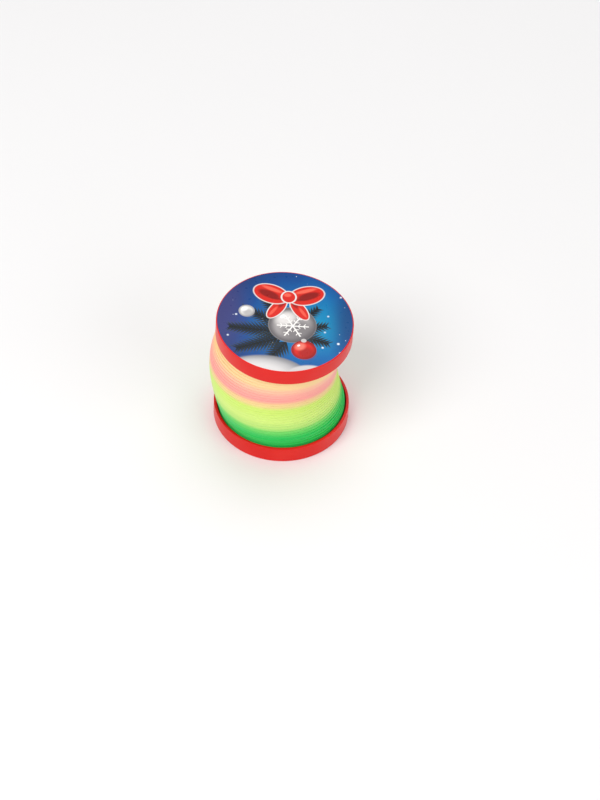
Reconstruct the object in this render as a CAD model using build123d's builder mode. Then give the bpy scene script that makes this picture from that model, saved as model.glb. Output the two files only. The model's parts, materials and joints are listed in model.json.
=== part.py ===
from build123d import *
import os
from math import atan2, cos, degrees, pi, radians, sin

# Rainbow spring toy: a flat plastic strip wound into a close spring, with a cap over each end.
# Millimetres, +Z up, origin at the centre of the bottom cap's underside.

# ---- driving dimensions ----
TOY_HEIGHT = 53.3  # underside of the bottom label to the face of the top label
CAP_RADIUS = 27.5
CAP_HEIGHT = 7.2
CAP_WALL = 1.2
CAP_PLATE = 1.4  # the cap's face, label recess included
CAP_CORNER = 0.35  # rounding where the cap's face meets its wall
CAP_MOUTH = 0.25  # rounding of the wall's open edge
LABEL_RADIUS = 27.1
LABEL_THICKNESS = 0.2
COIL_RADIUS = 25.8
STRIP_WIDTH = 3.5  # across the strip, radially
TURN_GAP = 0.12  # air between two turns of the closed spring
SEAT_GAP = 0.05  # glue line between a cap's face and the first turn
TURNS_IN_CAP = 4
OPEN_TURNS = 27  # turns between the two caps
SECTIONS = 17  # lengths of strip that move between the two coil ends
HALVES_IN_SECTION = 3  # a turn and a half, so splits lie at the front and the back in turn
HALVES_IN_BOTTOM_END = 10  # half turns up to the first split, at the front
END_GAP = 0.15  # what a length of strip stops short of the split from the next one
END_OVERLAP = -0.2  # and how far the half turns in one length run on into each other
BOW = 3.8  # how far the closed spring stands out to -X
BOW_SKEW = 1.2  # over 1 puts the furthest point above the middle
BOW_FULLNESS = 0.8  # under 1 makes it rise quickly next to the caps
LEAN = 1.3  # degrees that the top cap leans to +X

# ---- worked out from them ----
ALL_TURNS = OPEN_TURNS + 2 * TURNS_IN_CAP
COIL_BOTTOM = CAP_PLATE + SEAT_GAP
COIL_HEIGHT = TOY_HEIGHT - 2 * COIL_BOTTOM
PITCH = (COIL_HEIGHT + TURN_GAP) / (ALL_TURNS + 1)  # a coil of n turns is n + 1 strips high
STRIP_THICKNESS = PITCH - TURN_GAP
FIRST_STRIP = COIL_BOTTOM + STRIP_THICKNESS / 2  # middle of the strip where the coil starts
OPEN_BOTTOM = FIRST_STRIP + PITCH * TURNS_IN_CAP
OPEN_TOP = OPEN_BOTTOM + PITCH * OPEN_TURNS
STRIP_RISE = degrees(atan2(PITCH / 2, 2 * COIL_RADIUS - STRIP_WIDTH))  # slope of a half turn
RIGHT, LEFT = 1, -1
CLEAR_OF_COIL = COIL_RADIUS + STRIP_WIDTH


def across(height):
    """Plane across the toy's centre line, at this height along it."""
    share = min(max((height - OPEN_BOTTOM) / (OPEN_TOP - OPEN_BOTTOM), 0), 1)
    lean = radians(LEAN * share)
    past_open = max(height - OPEN_TOP, 0)  # the top cap and its turns stand square on the leaning turns
    bow = BOW * max(sin(pi * share**BOW_SKEW), 0) ** BOW_FULLNESS
    centre_x = past_open * sin(lean) - bow
    centre_z = height - past_open * (1 - cos(lean))
    return Plane(
        origin=(centre_x, 0, centre_z),
        x_dir=(cos(lean), 0, -sin(lean)),
        z_dir=(sin(lean), 0, cos(lean)),
    )


def middle_of(half_number):
    """Level plane through the middle of a half turn."""
    return across(FIRST_STRIP + PITCH * (half_number / 2 + 1 / 4))


def side_of(half_number):
    """Even halves run up the right side from front to back, odd ones up the left to the front."""
    return RIGHT if half_number % 2 == 0 else LEFT


def half_turn_sketch(half_number, start_gap, end_gap):
    """Flat outline of half a turn of strip, on its sloping plane, cut midway to its neighbours."""
    side = side_of(half_number)
    middle = middle_of(half_number)
    start_x = (middle_of(half_number - 1).origin.X - middle.origin.X) / 2 + side * start_gap
    end_x = (middle_of(half_number + 1).origin.X - middle.origin.X) / 2 + side * end_gap
    start_y = -side * CLEAR_OF_COIL
    with BuildSketch(middle.rotated((side * STRIP_RISE, 0, 0))) as outline:
        Circle(COIL_RADIUS)
        Circle(COIL_RADIUS - STRIP_WIDTH, mode=Mode.SUBTRACT)
        Polygon(
            (start_x, start_y),
            (end_x, -start_y),
            (side * CLEAR_OF_COIL, -start_y),
            (side * CLEAR_OF_COIL, start_y),
            align=None,
            mode=Mode.INTERSECT,
        )
    return outline.sketch


def write(part, name):
    part.label = name
    export_step(part, f"parts/{name}.step")


def make_cap(outside, name):
    """Moulded cup. The plane lies on the outside of its face, with its normal into the toy."""
    with BuildPart() as cap:
        with BuildSketch(outside):
            Circle(CAP_RADIUS)
        extrude(amount=CAP_HEIGHT)
        face_edge, mouth_edge = (
            cap.edges().filter_by(GeomType.CIRCLE).sort_by(Axis(outside.origin, outside.z_dir))
        )
        fillet(face_edge, radius=CAP_CORNER)
        with BuildSketch(outside.offset(CAP_PLATE)):
            Circle(CAP_RADIUS - CAP_WALL)
        extrude(amount=CAP_HEIGHT - CAP_PLATE, mode=Mode.SUBTRACT)
        mouth = cap.edges().filter_by(GeomType.CIRCLE).group_by(Axis(outside.origin, outside.z_dir))[-1]
        fillet(mouth, radius=CAP_MOUTH)
        with BuildSketch(outside):
            Circle(LABEL_RADIUS)
        extrude(amount=LABEL_THICKNESS, mode=Mode.SUBTRACT)
    write(cap.part, name)


def make_label(outside, name):
    """Printed disc that fills the recess in a cap's face."""
    with BuildPart() as label:
        with BuildSketch(outside):
            Circle(LABEL_RADIUS)
        extrude(amount=LABEL_THICKNESS)
    write(label.part, name)


def make_strip(first_half, halves, name):
    """One length of the coiled strip, a number of half turns long, from this half turn upwards."""
    last_half = first_half + halves - 1
    with BuildPart() as strip:
        for half_number in range(first_half, last_half + 1):
            start_gap = END_GAP if half_number == first_half else END_OVERLAP
            end_gap = END_GAP if half_number == last_half else END_OVERLAP
            outline = half_turn_sketch(half_number, start_gap, end_gap)
            extrude(outline, amount=STRIP_THICKNESS / 2, both=True)
    write(strip.part, name)


os.makedirs("parts", exist_ok=True)

bottom_outside = across(0)
top_face = across(TOY_HEIGHT)
top_outside = Plane(origin=top_face.origin, x_dir=top_face.x_dir, z_dir=-top_face.z_dir)

make_cap(bottom_outside, "bottom_cap")
make_label(bottom_outside, "bottom_label")
make_strip(0, HALVES_IN_BOTTOM_END, "coil_end_bottom")
for section in range(SECTIONS):
    first_half = HALVES_IN_BOTTOM_END + section * HALVES_IN_SECTION
    make_strip(first_half, HALVES_IN_SECTION, f"coil_section_{section + 1:02d}")
top_end_half = HALVES_IN_BOTTOM_END + SECTIONS * HALVES_IN_SECTION
make_strip(top_end_half, 2 * ALL_TURNS - top_end_half, "coil_end_top")
make_cap(top_outside, "top_cap")
make_label(top_outside, "top_label")

print(f"pitch {PITCH:.3f} mm, strip {STRIP_WIDTH} x {STRIP_THICKNESS:.3f} mm, {ALL_TURNS} turns in all")
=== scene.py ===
import json
import math

import bmesh
import bpy
from mathutils import Matrix, Vector


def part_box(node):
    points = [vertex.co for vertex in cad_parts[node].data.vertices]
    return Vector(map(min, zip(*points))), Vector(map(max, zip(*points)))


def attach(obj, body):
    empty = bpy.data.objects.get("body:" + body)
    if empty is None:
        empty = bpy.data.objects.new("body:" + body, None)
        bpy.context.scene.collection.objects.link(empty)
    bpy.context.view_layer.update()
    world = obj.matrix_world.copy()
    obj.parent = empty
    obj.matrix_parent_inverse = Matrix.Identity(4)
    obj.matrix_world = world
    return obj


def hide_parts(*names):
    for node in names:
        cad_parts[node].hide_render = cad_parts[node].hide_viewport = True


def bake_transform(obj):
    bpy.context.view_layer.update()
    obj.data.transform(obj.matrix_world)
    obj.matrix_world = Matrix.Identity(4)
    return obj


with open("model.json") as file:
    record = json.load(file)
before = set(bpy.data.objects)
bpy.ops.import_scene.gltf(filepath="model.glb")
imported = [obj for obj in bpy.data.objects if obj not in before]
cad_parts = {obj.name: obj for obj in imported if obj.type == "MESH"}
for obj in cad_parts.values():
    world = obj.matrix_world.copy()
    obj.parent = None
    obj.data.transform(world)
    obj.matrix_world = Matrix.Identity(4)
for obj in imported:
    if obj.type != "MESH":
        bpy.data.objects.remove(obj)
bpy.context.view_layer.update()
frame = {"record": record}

# Metres. The spring's shape repeats the CAD model's: a right-handed coil that starts at the front,
# bows out to -X between the caps and leans to +X towards the top. Heights are along its centre line,
# and places along the strip are in half turns from its lower end.

MM = 0.001
TOY_HEIGHT = 53.3 * MM
CAP_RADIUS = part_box("bottom_cap")[1].y
CAP_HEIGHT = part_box("bottom_cap")[1].z
CAP_PLATE = 1.4 * MM
CAP_WALL = 1.2 * MM
CAP_CORNER = 0.35 * MM
CAP_MOUTH_ROUND = 0.25 * MM
CAP_INSIDE_ROUND = 0.5 * MM
LABEL_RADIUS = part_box("bottom_label")[1].y
LABEL_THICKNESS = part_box("bottom_label")[1].z
LABEL_EDGE_ROUND = 0.08 * MM
LABEL_CLEARANCE = 0.04 * MM
COIL_RADIUS = 25.8 * MM
STRIP_WIDTH = 3.5 * MM
TURN_GAP = 0.12 * MM  # between two closed turns of the CAD model
SEAT_GAP = 0.05 * MM  # between a cap's face and the first turn
TURNS_IN_CAP = 4
OPEN_TURNS = 27
FIRST_SPLIT = 10  # half turns below the first joint
HALVES_IN_SECTION = 3  # half turns from one joint to the next
BOW = 3.8 * MM  # how far the closed spring stands out to -X
BOW_SKEW = 1.2  # over 1 puts the furthest point above the middle
BOW_FULLNESS = 0.8  # under 1 makes it rise quickly next to the caps
LEAN = math.radians(1.3)  # of the top cap, to +X

ALL_TURNS = OPEN_TURNS + 2 * TURNS_IN_CAP
COIL_BOTTOM = CAP_PLATE + SEAT_GAP
PITCH = (TOY_HEIGHT - 2 * COIL_BOTTOM + TURN_GAP) / (ALL_TURNS + 1)
FIRST_STRIP = COIL_BOTTOM + (PITCH - TURN_GAP) / 2
OPEN_BOTTOM = FIRST_STRIP + PITCH * TURNS_IN_CAP
OPEN_TOP = OPEN_BOTTOM + PITCH * OPEN_TURNS

DRAWN_GAP = 0.03 * MM  # closed turns all but touch
STRIP_THICKNESS = PITCH - DRAWN_GAP
STRIP_OUTER_ROUND = 0.22 * MM
STRIP_INNER_ROUND = 0.25 * MM
SEGMENTS_PER_HALF = 60
PIECES_PER_JOINT = 6  # quarter turns of strip round one joint
CORNER_STEPS = 5
LATHE_SEGMENTS = 192
MERGE_DISTANCE = 0.0001 * MM
STRIP_SHARP = 50  # degrees: faces that meet at more than this have a sharp edge between them
CAP_SHARP = 40
LABEL_SHARP = 50

BAND_DIP = 0.08  # how much lower the colour bands sit on the +X side, as a share of the open coil
BAND_DIP_SKEW = 1.5  # over 1 makes the bands above the middle dip most


# ---- the spring's centre line ----

def across(height):
    """Matrix of the plane across the toy's centre line, at this height along it."""
    share = min(max((height - OPEN_BOTTOM) / (OPEN_TOP - OPEN_BOTTOM), 0), 1)
    lean = LEAN * share
    past_open = max(height - OPEN_TOP, 0)
    bow = BOW * max(math.sin(math.pi * share**BOW_SKEW), 0) ** BOW_FULLNESS
    centre = Vector((past_open * math.sin(lean) - bow, 0, height - past_open * (1 - math.cos(lean))))
    return Matrix.Translation(centre) @ Matrix.Rotation(lean, 4, "Y")


def strip_height(half_turns):
    """Height of the middle of the strip, this many half turns from its lower end."""
    return FIRST_STRIP + PITCH * half_turns / 2


# ---- mesh helpers ----

def new_piece(name, bm, material):
    mesh = bpy.data.meshes.new(name)
    bm.to_mesh(mesh)
    bm.free()
    mesh.materials.append(material)
    piece = bpy.data.objects.new(name, mesh)
    bpy.context.scene.collection.objects.link(piece)
    return piece


def rounded_outline(corners, steps):
    """Outline through (x, y, radius) square corners, each rounded with an arc of some steps."""
    points = []
    for i, (x, y, radius) in enumerate(corners):
        here = Vector((x, y))
        before = (Vector(corners[i - 1][:2]) - here).normalized()
        after = (Vector(corners[(i + 1) % len(corners)][:2]) - here).normalized()
        if radius == 0:
            points.append(here)
            continue
        centre = here + (before + after) * radius
        for step in range(steps + 1):
            turn = step / steps * math.pi / 2
            points.append(centre - after * radius * math.cos(turn) - before * radius * math.sin(turn))
    return points


def smooth_by_angle(bm, sharp_degrees):
    """Smooth shading, with a sharp edge wherever two faces meet at more than this angle."""
    for face in bm.faces:
        face.smooth = True
    for edge in bm.edges:
        edge.smooth = len(edge.link_faces) == 2 and edge.calc_face_angle(0) < math.radians(sharp_degrees)


# ---- the coiled strip ----

def strip_section():
    """Section of the strip as (outwards, upwards) points round its middle, rounder on the outside."""
    half_width = STRIP_WIDTH / 2
    half_thickness = STRIP_THICKNESS / 2
    corners = (
        (half_width, -half_thickness, STRIP_OUTER_ROUND),
        (half_width, half_thickness, STRIP_OUTER_ROUND),
        (-half_width, half_thickness, STRIP_INNER_ROUND),
        (-half_width, -half_thickness, STRIP_INNER_ROUND),
    )
    return rounded_outline(corners, CORNER_STEPS)


def outwards_at(half_turns):
    """Direction from the centre line to the strip: the front at 0 half turns, then +X."""
    angle = math.pi * half_turns
    return Vector((math.sin(angle), -math.cos(angle), 0))


def strip_ring(half_turns, section):
    """Points of the strip's section, placed at this many half turns from its lower end."""
    plane = across(strip_height(half_turns))
    outwards = outwards_at(half_turns)
    middle = outwards * (COIL_RADIUS - STRIP_WIDTH / 2)
    return [plane @ (middle + outwards * out + Vector((0, 0, up))) for out, up in section]


def band_share(height, sideways):
    """Place in the rainbow, 0 at the bottom cap to 1 at the top one; sideways is 1 on the +X side."""
    share = (height - OPEN_BOTTOM) / (OPEN_TOP - OPEN_BOTTOM)
    dip = math.sin(math.pi * min(max(share, 0), 1) ** BAND_DIP_SKEW)
    return share + BAND_DIP * max(sideways, 0) ** 2 * dip


def make_strip(name, start, end, material):
    """Closed length of strip from start to end, with its place in the rainbow stored on its points."""
    bm = bmesh.new()
    share_layer = bm.verts.layers.float.new("band_share")
    uv_layer = bm.loops.layers.uv.new("strip")
    section = strip_section()
    steps = round((end - start) * SEGMENTS_PER_HALF)
    rings = []
    for step in range(steps + 1):
        half_turns = start + (end - start) * step / steps
        ring = [bm.verts.new(point) for point in strip_ring(half_turns, section)]
        for vert, (out, up) in zip(ring, section):
            vert[share_layer] = band_share(strip_height(half_turns) + up, outwards_at(half_turns).x)
        rings.append((half_turns, ring))
    count = len(section)
    for (here, low), (there, high) in zip(rings, rings[1:]):
        for i in range(count):
            face = bm.faces.new((low[i], high[i], high[(i + 1) % count], low[(i + 1) % count]))
            for loop, along, round_it in zip(face.loops, (here, there, there, here), (i, i, i + 1, i + 1)):
                loop[uv_layer].uv = (along, round_it / count)
    bm.faces.new(reversed(rings[-1][1]))
    bm.faces.new(rings[0][1])
    bmesh.ops.recalc_face_normals(bm, faces=bm.faces)
    smooth_by_angle(bm, STRIP_SHARP)
    return new_piece(name, bm, material)


def make_spring(material):
    """The strip: a length in each cap, and quarter turns spread evenly round every joint."""
    bodies = frame["record"]["behaviour"]["bodies"]
    chain = list(bodies)
    half_section = HALVES_IN_SECTION / 2
    bottom = make_strip("spring_end_bottom", 0, FIRST_SPLIT - half_section, material)
    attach(bottom, "base")
    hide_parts("coil_end_bottom")
    for joint, (body, next_body) in enumerate(zip(chain, chain[1:])):
        zone_start = FIRST_SPLIT - half_section + joint * HALVES_IN_SECTION
        for i in range(PIECES_PER_JOINT):
            share_before, share_after = i / PIECES_PER_JOINT, (i + 1) / PIECES_PER_JOINT
            start = zone_start + HALVES_IN_SECTION * share_before
            end = zone_start + HALVES_IN_SECTION * share_after
            piece = make_strip(f"spring_{joint + 1:02d}_{i + 1}", start, end, material)
            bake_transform(piece)
        if next_body != "top":
            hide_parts(*bodies[next_body])
    top = make_strip("spring_end_top", zone_start + HALVES_IN_SECTION, 2 * ALL_TURNS, material)
    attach(top, "top")
    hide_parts("coil_end_top")


# ---- caps ----

def cap_outline():
    """Half section of a cap as (radius, height) points, from the middle of its outside to its inside."""
    corners = (
        (0, LABEL_THICKNESS, 0),
        (LABEL_RADIUS, LABEL_THICKNESS, 0),
        (LABEL_RADIUS, 0, 0),
        (CAP_RADIUS, 0, CAP_CORNER),
        (CAP_RADIUS, CAP_HEIGHT, CAP_MOUTH_ROUND),
        (CAP_RADIUS - CAP_WALL, CAP_HEIGHT, CAP_MOUTH_ROUND),
        (CAP_RADIUS - CAP_WALL, CAP_PLATE, CAP_INSIDE_ROUND),
        (0, CAP_PLATE, 0),
    )
    return rounded_outline(corners, 2 * CORNER_STEPS)


def label_outline():
    """Half section of a label as (radius, height) points, from the middle of its printed side to its back."""
    radius = LABEL_RADIUS - LABEL_CLEARANCE
    corners = (
        (0, 0, 0),
        (radius, 0, LABEL_EDGE_ROUND),
        (radius, LABEL_THICKNESS, 0),
        (0, LABEL_THICKNESS, 0),
    )
    return rounded_outline(corners, CORNER_STEPS)


def make_turned(name, outline, placing, material, sharp_degrees):
    """Round piece turned from its half section; placing puts its outside face where it belongs."""
    bm = bmesh.new()
    verts = [bm.verts.new((radius, 0, height)) for radius, height in outline]
    edges = [bm.edges.new(pair) for pair in zip(verts, verts[1:])]
    bmesh.ops.spin(
        bm, geom=verts + edges, cent=(0, 0, 0), axis=(0, 0, 1), angle=2 * math.pi, steps=LATHE_SEGMENTS,
        use_merge=True,
    )
    bmesh.ops.remove_doubles(bm, verts=bm.verts, dist=MERGE_DISTANCE)
    bmesh.ops.recalc_face_normals(bm, faces=bm.faces)
    bm.transform(placing)
    smooth_by_angle(bm, sharp_degrees)
    return new_piece(name, bm, material)


def make_end(side, body, placing, cap_plastic, print_film):
    """A cap with its label, as the CAD model has them at this end."""
    shell = make_turned(f"cap_shell_{side}", cap_outline(), placing, cap_plastic, CAP_SHARP)
    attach(shell, body)
    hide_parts(f"{side}_cap")
    label = make_turned(f"label_film_{side}", label_outline(), placing, print_film, LABEL_SHARP)
    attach(label, body)
    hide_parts(f"{side}_label")


# ---- materials ----

RAINBOW = (  # up the open coil, from the bottom cap to the top one
    (0.00, "#00c24a"),
    (0.11, "#00c850"),
    (0.19, "#66d85e"),
    (0.27, "#bfe976"),
    (0.36, "#d5f27c"),
    (0.53, "#d2f06c"),
    (0.61, "#f4d690"),
    (0.69, "#ffa29a"),
    (0.76, "#ffab9c"),
    (0.83, "#ffc3a2"),
    (0.89, "#fcd69a"),
    (1.00, "#fbda98"),
)
WHITE = "#ffffff"
BAND_WAVER = 0.02  # how far the bands stray along the strip, as a share of the open coil
WAVER_SCALE = (0.4, 0.0, 1.0)  # along the strip, per half turn, and round its section
LINES_SCALE = (1.5, 60.0, 1.0)
LINE_PALENESS = 0.10
CAP_REDS = ("#de1a14", "#e3261f")
FLOW_PER_METRE = 60.0
MARKS_PER_METRE = (900.0, 900.0, 4000.0)
WEAR_PER_METRE = 500.0
SPRING_ROUGHNESS = (0.32, 0.44)  # least and most
CAP_ROUGHNESS = (0.29, 0.37)
LABEL_ROUGHNESS = (0.26, 0.36)
MIX_SHARE, MIX_UNDER, MIX_OVER, MIX_RESULT = 0, 6, 7, 2  # the mix node's sockets for colours


def srgb(code):
    """Linear colour of a #rrggbb code."""
    parts = [int(code[i:i + 2], 16) / 255 for i in (1, 3, 5)]
    return [c / 12.92 if c <= 0.04045 else ((c + 0.055) / 1.055) ** 2.4 for c in parts] + [1]


class Nodes:
    """Short calls for building one material's nodes. Colours may be given as #rrggbb codes."""

    def __init__(self, name):
        self.material = bpy.data.materials.new(name)
        self.material.use_nodes = True
        self.tree = self.material.node_tree
        self.shader = self.tree.nodes["Principled BSDF"]

    def put(self, socket, value):
        """Link an input to another node's output, or set its value."""
        if isinstance(value, bpy.types.NodeSocket):
            self.tree.links.new(value, socket)
        elif isinstance(value, str):
            socket.default_value = srgb(value)
        else:
            socket.default_value = value

    def add(self, kind, *inputs, output=0, **settings):
        """New node, with its first inputs filled in order; returns one of its outputs."""
        node = self.tree.nodes.new(kind)
        for key, value in settings.items():
            setattr(node, key, value)
        for socket, value in zip(node.inputs, inputs):
            self.put(socket, value)
        return node.outputs[output]

    def object_place(self):
        """Place on the piece in metres, in the toy's own axes."""
        return self.add("ShaderNodeTexCoord", output="Object")

    def calc(self, operation, *inputs):
        return self.add("ShaderNodeMath", *inputs, operation=operation)

    def length(self, vector):
        return self.add("ShaderNodeVectorMath", vector, operation="LENGTH", output="Value")

    def mapping(self, position, location=(0, 0, 0), turn=0.0, scale=(1, 1, 1), kind="POINT"):
        return self.add("ShaderNodeMapping", position, location, (0, 0, turn), scale, vector_type=kind)

    def noise(self, position, scale=1.0, detail=3.0, roughness=0.5):
        node = self.tree.nodes.new("ShaderNodeTexNoise")
        self.put(node.inputs["Vector"], position)
        self.put(node.inputs["Scale"], scale)
        self.put(node.inputs["Detail"], detail)
        self.put(node.inputs["Roughness"], roughness)
        return node.outputs["Fac"]

    def remap(self, value, low, high, to_low=0.0, to_high=1.0, smooth=False):
        """Value stretched from one range to another, and held at the range's ends."""
        kind = "SMOOTHSTEP" if smooth else "LINEAR"
        return self.add("ShaderNodeMapRange", value, low, high, to_low, to_high, interpolation_type=kind)

    def ramp(self, value, stops, ease="EASE"):
        """Colour ramp through (place, colour code) stops."""
        node = self.tree.nodes.new("ShaderNodeValToRGB")
        node.color_ramp.interpolation = ease
        elements = node.color_ramp.elements
        while len(elements) < len(stops):
            elements.new(0.5)
        for element, (place, code) in zip(elements, stops):
            element.position = place
            element.color = srgb(code)
        self.put(node.inputs[0], value)
        return node.outputs[0]

    def mix(self, under, over, share):
        node = self.tree.nodes.new("ShaderNodeMix")
        node.data_type = "RGBA"
        self.put(node.inputs[MIX_SHARE], share)
        self.put(node.inputs[MIX_UNDER], under)
        self.put(node.inputs[MIX_OVER], over)
        return node.outputs[MIX_RESULT]

    def bump(self, height, strength, distance):
        node = self.tree.nodes.new("ShaderNodeBump")
        self.put(node.inputs["Strength"], strength)
        self.put(node.inputs["Distance"], distance)
        self.put(node.inputs["Height"], height)
        self.put(self.shader.inputs["Normal"], node.outputs[0])

    def finish(self, colour, roughness, specular):
        self.put(self.shader.inputs["Base Color"], colour)
        self.put(self.shader.inputs["Roughness"], roughness)
        self.put(self.shader.inputs["Specular IOR Level"], specular)
        return self.material


def spring_material():
    """Satin plastic, coloured in soft bands up the spring, with faint drawn lines along the strip."""
    n = Nodes("rainbow_plastic")
    share = n.add("ShaderNodeAttribute", attribute_name="band_share", output="Fac")
    strip_uv = n.add("ShaderNodeUVMap", uv_map="strip")
    waver = n.noise(n.mapping(strip_uv, scale=WAVER_SCALE), detail=2.0)
    bands = n.ramp(n.calc("ADD", share, n.remap(waver, 0, 1, -BAND_WAVER, BAND_WAVER)), RAINBOW)
    lines = n.noise(n.mapping(strip_uv, scale=LINES_SCALE), detail=4.0)
    colour = n.mix(bands, n.mix(bands, WHITE, LINE_PALENESS), n.remap(lines, 0.45, 0.75))
    n.bump(lines, strength=0.08, distance=0.04 * MM)
    return n.finish(colour, n.remap(lines, 0.3, 0.7, *SPRING_ROUGHNESS), specular=0.3)


def cap_material():
    """Glossy moulded red plastic, with a faint flow pattern and fine handling marks."""
    n = Nodes("red_cap_plastic")
    place = n.object_place()
    flow = n.noise(place, FLOW_PER_METRE)
    marks = n.noise(n.mapping(place, scale=MARKS_PER_METRE), detail=5.0, roughness=0.7)
    n.bump(marks, strength=0.02, distance=0.02 * MM)
    colour = n.mix(*CAP_REDS, n.remap(flow, 0.35, 0.65))
    return n.finish(colour, n.remap(marks, 0.35, 0.7, *CAP_ROUGHNESS), specular=0.22)


# ---- the labels' printed picture: a bauble, a bow and fir twigs in front of a snowy night sky ----
# Places and sizes are in millimetres, measured from the label's centre, and turns are in degrees.

SKY = ((0.00, "#0092be"), (0.25, "#0080b4"), (0.50, "#0465a8"), (0.75, "#0d4a90"), (1.00, "#1a3a74"))
SKY_CENTRE = (11, -2)  # the sky's brightest place
SKY_REACH = 36  # from there to its darkest
GLOW_SCALE = (0.12, 0.05, 1)  # the glow's patches, per millimetre
GLOW_WAVER = 0.08  # how far they shift the sky's colours, as a share of its reach
SNOW = "#f2f8ff"
FLAKE_FADE = (1.3, 0.6)  # a flake's edge fades between these, in its radii
NEEDLES = ("#0d1519", "#46565c")  # a needle's dark and light
NEEDLE_LEAN = 0.9  # how far a needle reaches forward for each millimetre out
NEEDLE_PITCH = 1.5  # from one needle to the next along the stem
NEEDLE_TAPER = 0.35  # share of its reach from where a needle narrows
NEEDLE_NARROWING = NEEDLE_PITCH * 0.45  # what it has lost on either side at its tip
NEEDLE_SHINE = NEEDLE_PITCH * 0.3  # how far from the gap between two needles their light starts
TIP_REACH = 0.4  # reach of the needles at a twig's tip, as a share of those at its root
STEM = 0.35  # half the stem's width
CRISP_EDGE = 0.1
METAL = "#c9c4c2"
SILVER = ("#aba6a6", "#4f4b50", "#efebe8")  # a bauble's colour, shade and light
RED = ("#d9221a", "#820d0e", "#ff8a78")
PEARL = ("#e3e0dd", "#918d8f", WHITE)
RIBBON = ("#d8261b", "#7d100f", "#ff705a", "#e9e5e1")  # a bow's colour, folds, light and edge
TWIGS = (  # root, direction, length, reach of the needles
    ((0, -3), 152, 19, 5.2),
    ((-2, -6), 176, 20, 6.0),
    ((-1, -9), 202, 19, 6.0),
    ((-1, 1), 126, 13, 5.0),
    ((5, -1), 48, 12, 4.6),
    ((7, -4), 16, 10, 4.6),
    ((8, -8), -16, 10, 4.6),
    ((1, -11), 236, 13, 5.4),
)
DRIFTS = (  # colour, centre, radii, softness of the edge
    ("#7f8087", (-7, -34), (19.5, 15), 0.06),
    ("#b4b2b4", (-8, -32.6), (18, 12.4), 0.3),
    ("#dedbda", (-10, -31), (14, 9), 0.6),
    ("#cfcccc", (11, -34), (12, 11), 0.1),
)


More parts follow.
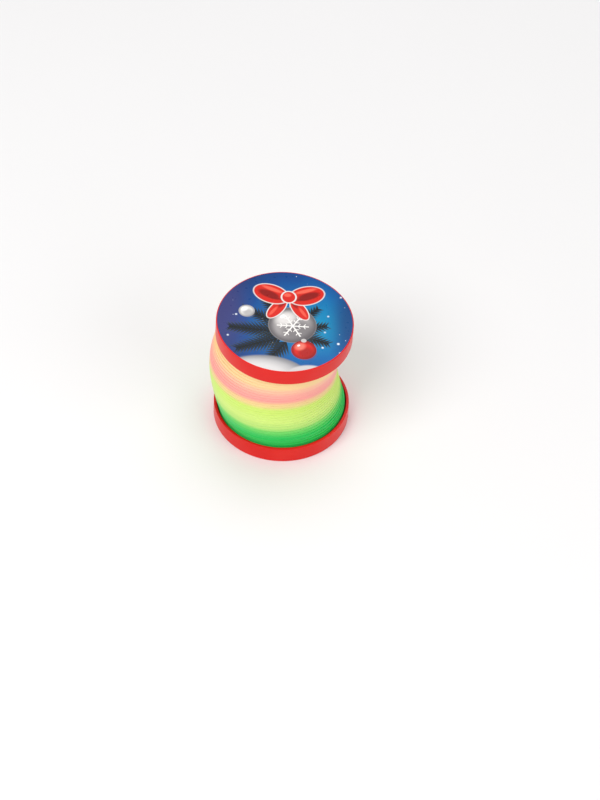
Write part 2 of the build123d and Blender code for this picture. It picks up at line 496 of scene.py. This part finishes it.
class Picture(Nodes):
    """A picture painted one shape over another."""

    def __init__(self, name, centre_x, mirror):
        super().__init__(name)
        to_label = (-centre_x * mirror / MM, 0, 0)
        self.place = self.mapping(self.object_place(), to_label, scale=(mirror / MM, 1 / MM, 0))
        self.colour = None

    def local(self, centre, radii=(1, 1), turn=0.0):
        """Place measured from a shape's centre, along its own axes, in its own radii."""
        return self.mapping(self.place, (*centre, 0), math.radians(turn), (*radii, 1), "TEXTURE")

    def split(self, vector):
        node = self.tree.nodes.new("ShaderNodeSeparateXYZ")
        self.put(node.inputs[0], vector)
        return node.outputs[0], node.outputs[1]

    def both(self, mask, other):
        """Where two masks overlap."""
        return self.calc("MULTIPLY", mask, other)

    def over(self, colour, mask):
        """Paint a colour over the picture."""
        self.colour = self.mix(self.colour, colour, mask)

    def ellipse(self, colour, centre, radii, turn=0.0, soft=0.08, strength=1.0):
        """soft is how much of the radius the edge fades over."""
        away = self.length(self.local(centre, radii, turn))
        self.over(colour, self.remap(away, 1 + soft / 2, 1 - soft / 2, 0, strength, smooth=True))
        return away

    def sky(self):
        """Night sky, bright on the right, with violet at its left edge and dark blue at its right one."""
        away = self.remap(self.length(self.local(SKY_CENTRE)), 0, SKY_REACH)
        glow = self.noise(self.mapping(self.place, scale=GLOW_SCALE), detail=4.0)
        reach = self.calc("ADD", away, self.remap(glow, 0.2, 0.8, -GLOW_WAVER, GLOW_WAVER))
        self.colour = self.ramp(reach, SKY, "LINEAR")
        self.ellipse("#4a4078", (-27, 4), (10, 22), soft=1.2, strength=0.55)
        self.ellipse("#123c74", (28, 3), (8, 24), soft=1.2, strength=0.8)

    def snowfall(self, cell, radius, share):
        """Soft round flakes, one in each of a share of the cells."""
        node = self.tree.nodes.new("ShaderNodeTexVoronoi")
        self.put(node.inputs["Scale"], 1 / cell)
        self.put(node.inputs["Vector"], self.place)
        flake = self.remap(node.outputs["Distance"], *(radius / cell * fade for fade in FLAKE_FADE))
        chance, _ = self.split(node.outputs["Color"])
        self.over(SNOW, self.both(flake, self.calc("LESS_THAN", chance, share)))

    def twig(self, root, direction, length, reach):
        """A fir twig: pointed needles that lean forward from a stem and shorten towards its tip."""
        dark, light = NEEDLES
        along, off = self.split(self.local(root, turn=direction))
        side = self.calc("ABSOLUTE", off)
        grown_at = self.calc("SUBTRACT", along, self.calc("MULTIPLY", side, NEEDLE_LEAN))
        out = self.calc("DIVIDE", side, self.remap(grown_at, 0, length, reach, reach * TIP_REACH))
        past_root = self.calc("GREATER_THAN", grown_at, 0)
        on_stem = self.both(past_root, self.calc("LESS_THAN", grown_at, length))
        middle = self.calc("PINGPONG", grown_at, NEEDLE_PITCH / 2)
        narrowed = self.remap(out, NEEDLE_TAPER, 1.0, 0.0, NEEDLE_NARROWING)
        within = self.remap(self.calc("SUBTRACT", middle, narrowed), 0, CRISP_EDGE)
        needle = self.both(self.both(on_stem, within), self.calc("LESS_THAN", out, 1))
        shine = self.both(self.remap(middle, NEEDLE_SHINE, NEEDLE_PITCH / 2), out)
        self.over(self.mix(dark, light, shine), needle)
        self.over(dark, self.both(on_stem, self.calc("LESS_THAN", side, STEM)))

    def snowflake(self, colour, centre, radius, arm=0.3, branch=0.22, slant=0.6):
        """Six arms with slanting side branches; arm and branch are half their widths."""
        here = self.local(centre)
        x, y = self.split(here)
        away = self.length(here)
        fold = self.calc("PINGPONG", self.calc("ARCTAN2", y, x), math.pi / 6)
        along = self.calc("MULTIPLY", away, self.calc("COSINE", fold))
        side = self.calc("MULTIPLY", away, self.calc("SINE", fold))
        grown_at = self.calc("SUBTRACT", along, self.calc("MULTIPLY", side, slant))
        from_branch = self.calc("PINGPONG", grown_at, radius / 6)
        short = self.calc("LESS_THAN", side, radius / 5)
        on_branch = self.both(self.calc("LESS_THAN", from_branch, branch), short)
        shape = self.calc("MAXIMUM", self.calc("LESS_THAN", side, arm), on_branch)
        self.over(colour, self.both(shape, self.calc("LESS_THAN", along, radius)))

    def part_of(self, centre, size, colour, offset, radii, *look):
        """Ellipse whose offset and radii are shares of a larger shape's size; look goes on to ellipse."""
        place = [middle + size * share for middle, share in zip(centre, offset)]
        self.ellipse(colour, place, [size * share for share in radii], *look)

    def bauble(self, centre, radius, colour, shade, light):
        """A shiny ball, shaded towards its edge and its lower right."""
        away = self.ellipse(colour, centre, (radius, radius), soft=0.05)
        inside = self.remap(away, 1.02, 0.96)
        edge = self.remap(away, 0.62, 1.0, 0, 0.85, smooth=True)
        self.over(shade, self.both(edge, inside))
        self.part_of(centre, radius, shade, (0.25, -0.35), (0.66, 0.6), 0, 0.9, 0.55)
        self.part_of(centre, radius, light, (-0.3, 0.35), (0.42, 0.34), 35, 1.0, 0.8)
        self.part_of(centre, radius, WHITE, (-0.42, 0.46), (0.13, 0.09), 40, 0.3)

    def bow(self, centre, size, colour, fold, light, trim):
        """A ribbon bow: two tails and two loops round a knot, each with a pale edge."""
        tail = (
            (trim, (0.42, -0.62), (0.59, 0.27), -58),
            (colour, (0.42, -0.62), (0.55, 0.23), -58),
            (fold, (0.2, -0.3), (0.28, 0.09), -60, 0.7, 0.7),
            (light, (0.55, -0.75), (0.26, 0.06), -58, 0.8, 0.6),
        )
        loop = (
            (trim, (0.66, 0.12), (0.71, 0.48), 22),
            (colour, (0.66, 0.12), (0.67, 0.44), 22),
            (fold, (0.74, 0.1), (0.42, 0.17), 24, 0.5, 0.85),
            (fold, (0.4, -0.12), (0.3, 0.05), 8, 0.8, 0.6),
            (light, (0.62, 0.36), (0.4, 0.08), 22, 0.8, 0.8),
        )
        for parts, side in ((tail, -1), (tail, 1), (loop, -1), (loop, 1)):
            for paint, (x, y), radii, turn, *look in parts:
                self.part_of(centre, size, paint, (side * x, y), radii, side * turn, *look)
        self.part_of(centre, size, trim, (0, 0), (0.3, 0.32))
        self.part_of(centre, size, colour, (0, 0), (0.24, 0.27))
        self.part_of(centre, size, light, (-0.05, 0.1), (0.13, 0.09), 0, 0.8, 0.8)


def label_material(name, centre_x, mirror):
    """Printed film with a clear gloss, its picture centred on centre_x and flipped where mirror is -1."""
    p = Picture(name, centre_x, mirror)
    p.sky()
    p.snowfall(cell=5.0, radius=0.55, share=0.85)
    p.snowfall(cell=2.7, radius=0.18, share=0.35)
    for twig in TWIGS:
        p.twig(*twig)
    for colour, centre, radii, soft in DRIFTS:
        p.ellipse(colour, centre, radii, soft=soft)
    p.ellipse(METAL, (3.2, 8.6), (1.8, 1.6))
    p.bauble((3, -1.8), 9.6, *SILVER)
    p.snowflake("#f5f2ee", (3.2, -2.3), 6.4)
    p.bauble((8, -15), 5.0, *RED)
    p.ellipse(METAL, (7.8, -9.9), (1.1, 1.0))
    p.bauble((-15.5, 4.5), 3.2, *PEARL)
    p.bow((1, 13.4), 10.8, *RIBBON)
    wear = p.noise(p.object_place(), WEAR_PER_METRE, detail=4.0, roughness=0.6)
    p.bump(wear, strength=0.03, distance=0.02 * MM)
    return p.finish(p.colour, p.remap(wear, 0.3, 0.7, *LABEL_ROUGHNESS), specular=0.2)


# ---- build ----

top_face = across(TOY_HEIGHT)
upside_down = Matrix.Rotation(math.pi, 4, "X")
red_plastic = cap_material()
make_spring(spring_material())
print_below = label_material("winter_print_below", 0, -1)
print_above = label_material("winter_print_above", top_face.translation.x, 1)
make_end("bottom", "base", across(0), red_plastic, print_below)
make_end("top", "top", top_face @ upside_down, red_plastic, print_above)


# ---- floor, lights and camera ----

FLOOR_REACH = 3.0  # from its middle to an edge
FLOOR_GRID = 8
FLOOR_TONES = ("#efeeee", "#f4f3f3")
SOFTBOXES = (  # name, place, width and height, watts
    ("key_light", (-0.5, -0.55, 0.9), (0.7, 0.7), 7.6),
    ("fill_light", (0.8, -0.6, 0.6), (0.9, 0.6), 3.4),
    ("top_light", (0.1, 0.5, 1.1), (1.0, 0.8), 4.5),
)
SOFTBOX_TARGET = (0, 0, 0.03)
WORLD_STRENGTH = 0.40
SENSOR = 36.0  # along the picture's height; this and the lens are in millimetres
CAMERA_DISTANCE = 1.5
FRAME_HEIGHT_AT_TOY = 0.3226
CAMERA_ELEVATION = math.radians(47.8)
CAMERA_ROLL = math.radians(2.7)
CAMERA_TARGET = (0, 0, 0.0265)
AIM_RIGHT = 0.0076  # the picture's middle, measured from the target
AIM_UP = -0.0130


def make_floor():
    bm = bmesh.new()
    bmesh.ops.create_grid(bm, x_segments=FLOOR_GRID, y_segments=FLOOR_GRID, size=FLOOR_REACH)
    n = Nodes("pale_floor")
    tone = n.mix(*FLOOR_TONES, n.noise(n.object_place(), scale=3.0))
    floor = new_piece("floor", bm, n.finish(tone, roughness=0.7, specular=0.2))


def aim(thing, target, roll=0.0):
    """Turn a lamp or camera towards a place, and then about its own axis."""
    direction = Vector(target) - thing.location
    thing.rotation_mode = "QUATERNION"
    turn = Matrix.Rotation(roll, 4, "Z").to_quaternion()
    thing.rotation_quaternion = direction.to_track_quat("-Z", "Y") @ turn


def add_softbox(name, place, size, watts):
    light = bpy.data.lights.new(name, "AREA")
    light.shape = "RECTANGLE"
    light.size, light.size_y = size
    light.energy = watts
    lamp = bpy.data.objects.new(name, light)
    lamp.location = place
    bpy.context.scene.collection.objects.link(lamp)
    aim(lamp, SOFTBOX_TARGET)


def make_world():
    world = bpy.data.worlds.new("studio")
    world.use_nodes = True
    background = world.node_tree.nodes["Background"]
    background.inputs["Color"].default_value = srgb(WHITE)
    background.inputs["Strength"].default_value = WORLD_STRENGTH
    bpy.context.scene.world = world


def make_camera():
    """Looks down at the toy from the front, turned a little about its own axis."""
    camera = bpy.data.cameras.new("camera")
    camera.sensor_width = SENSOR
    camera.lens = SENSOR * CAMERA_DISTANCE / FRAME_HEIGHT_AT_TOY
    view = bpy.data.objects.new("camera", camera)
    back = Vector((0, -math.cos(CAMERA_ELEVATION), math.sin(CAMERA_ELEVATION)))
    up = Vector((0, math.sin(CAMERA_ELEVATION), math.cos(CAMERA_ELEVATION)))
    target = Vector(CAMERA_TARGET) + Vector((AIM_RIGHT, 0, 0)) + up * AIM_UP
    view.location = target + back * CAMERA_DISTANCE
    bpy.context.scene.collection.objects.link(view)
    aim(view, target, CAMERA_ROLL)
    bpy.context.scene.camera = view


make_floor()
for softbox in SOFTBOXES:
    add_softbox(*softbox)
make_world()
make_camera()
bpy.context.scene.view_settings.view_transform = "Standard"  # keeps the toy's bright colours as they are
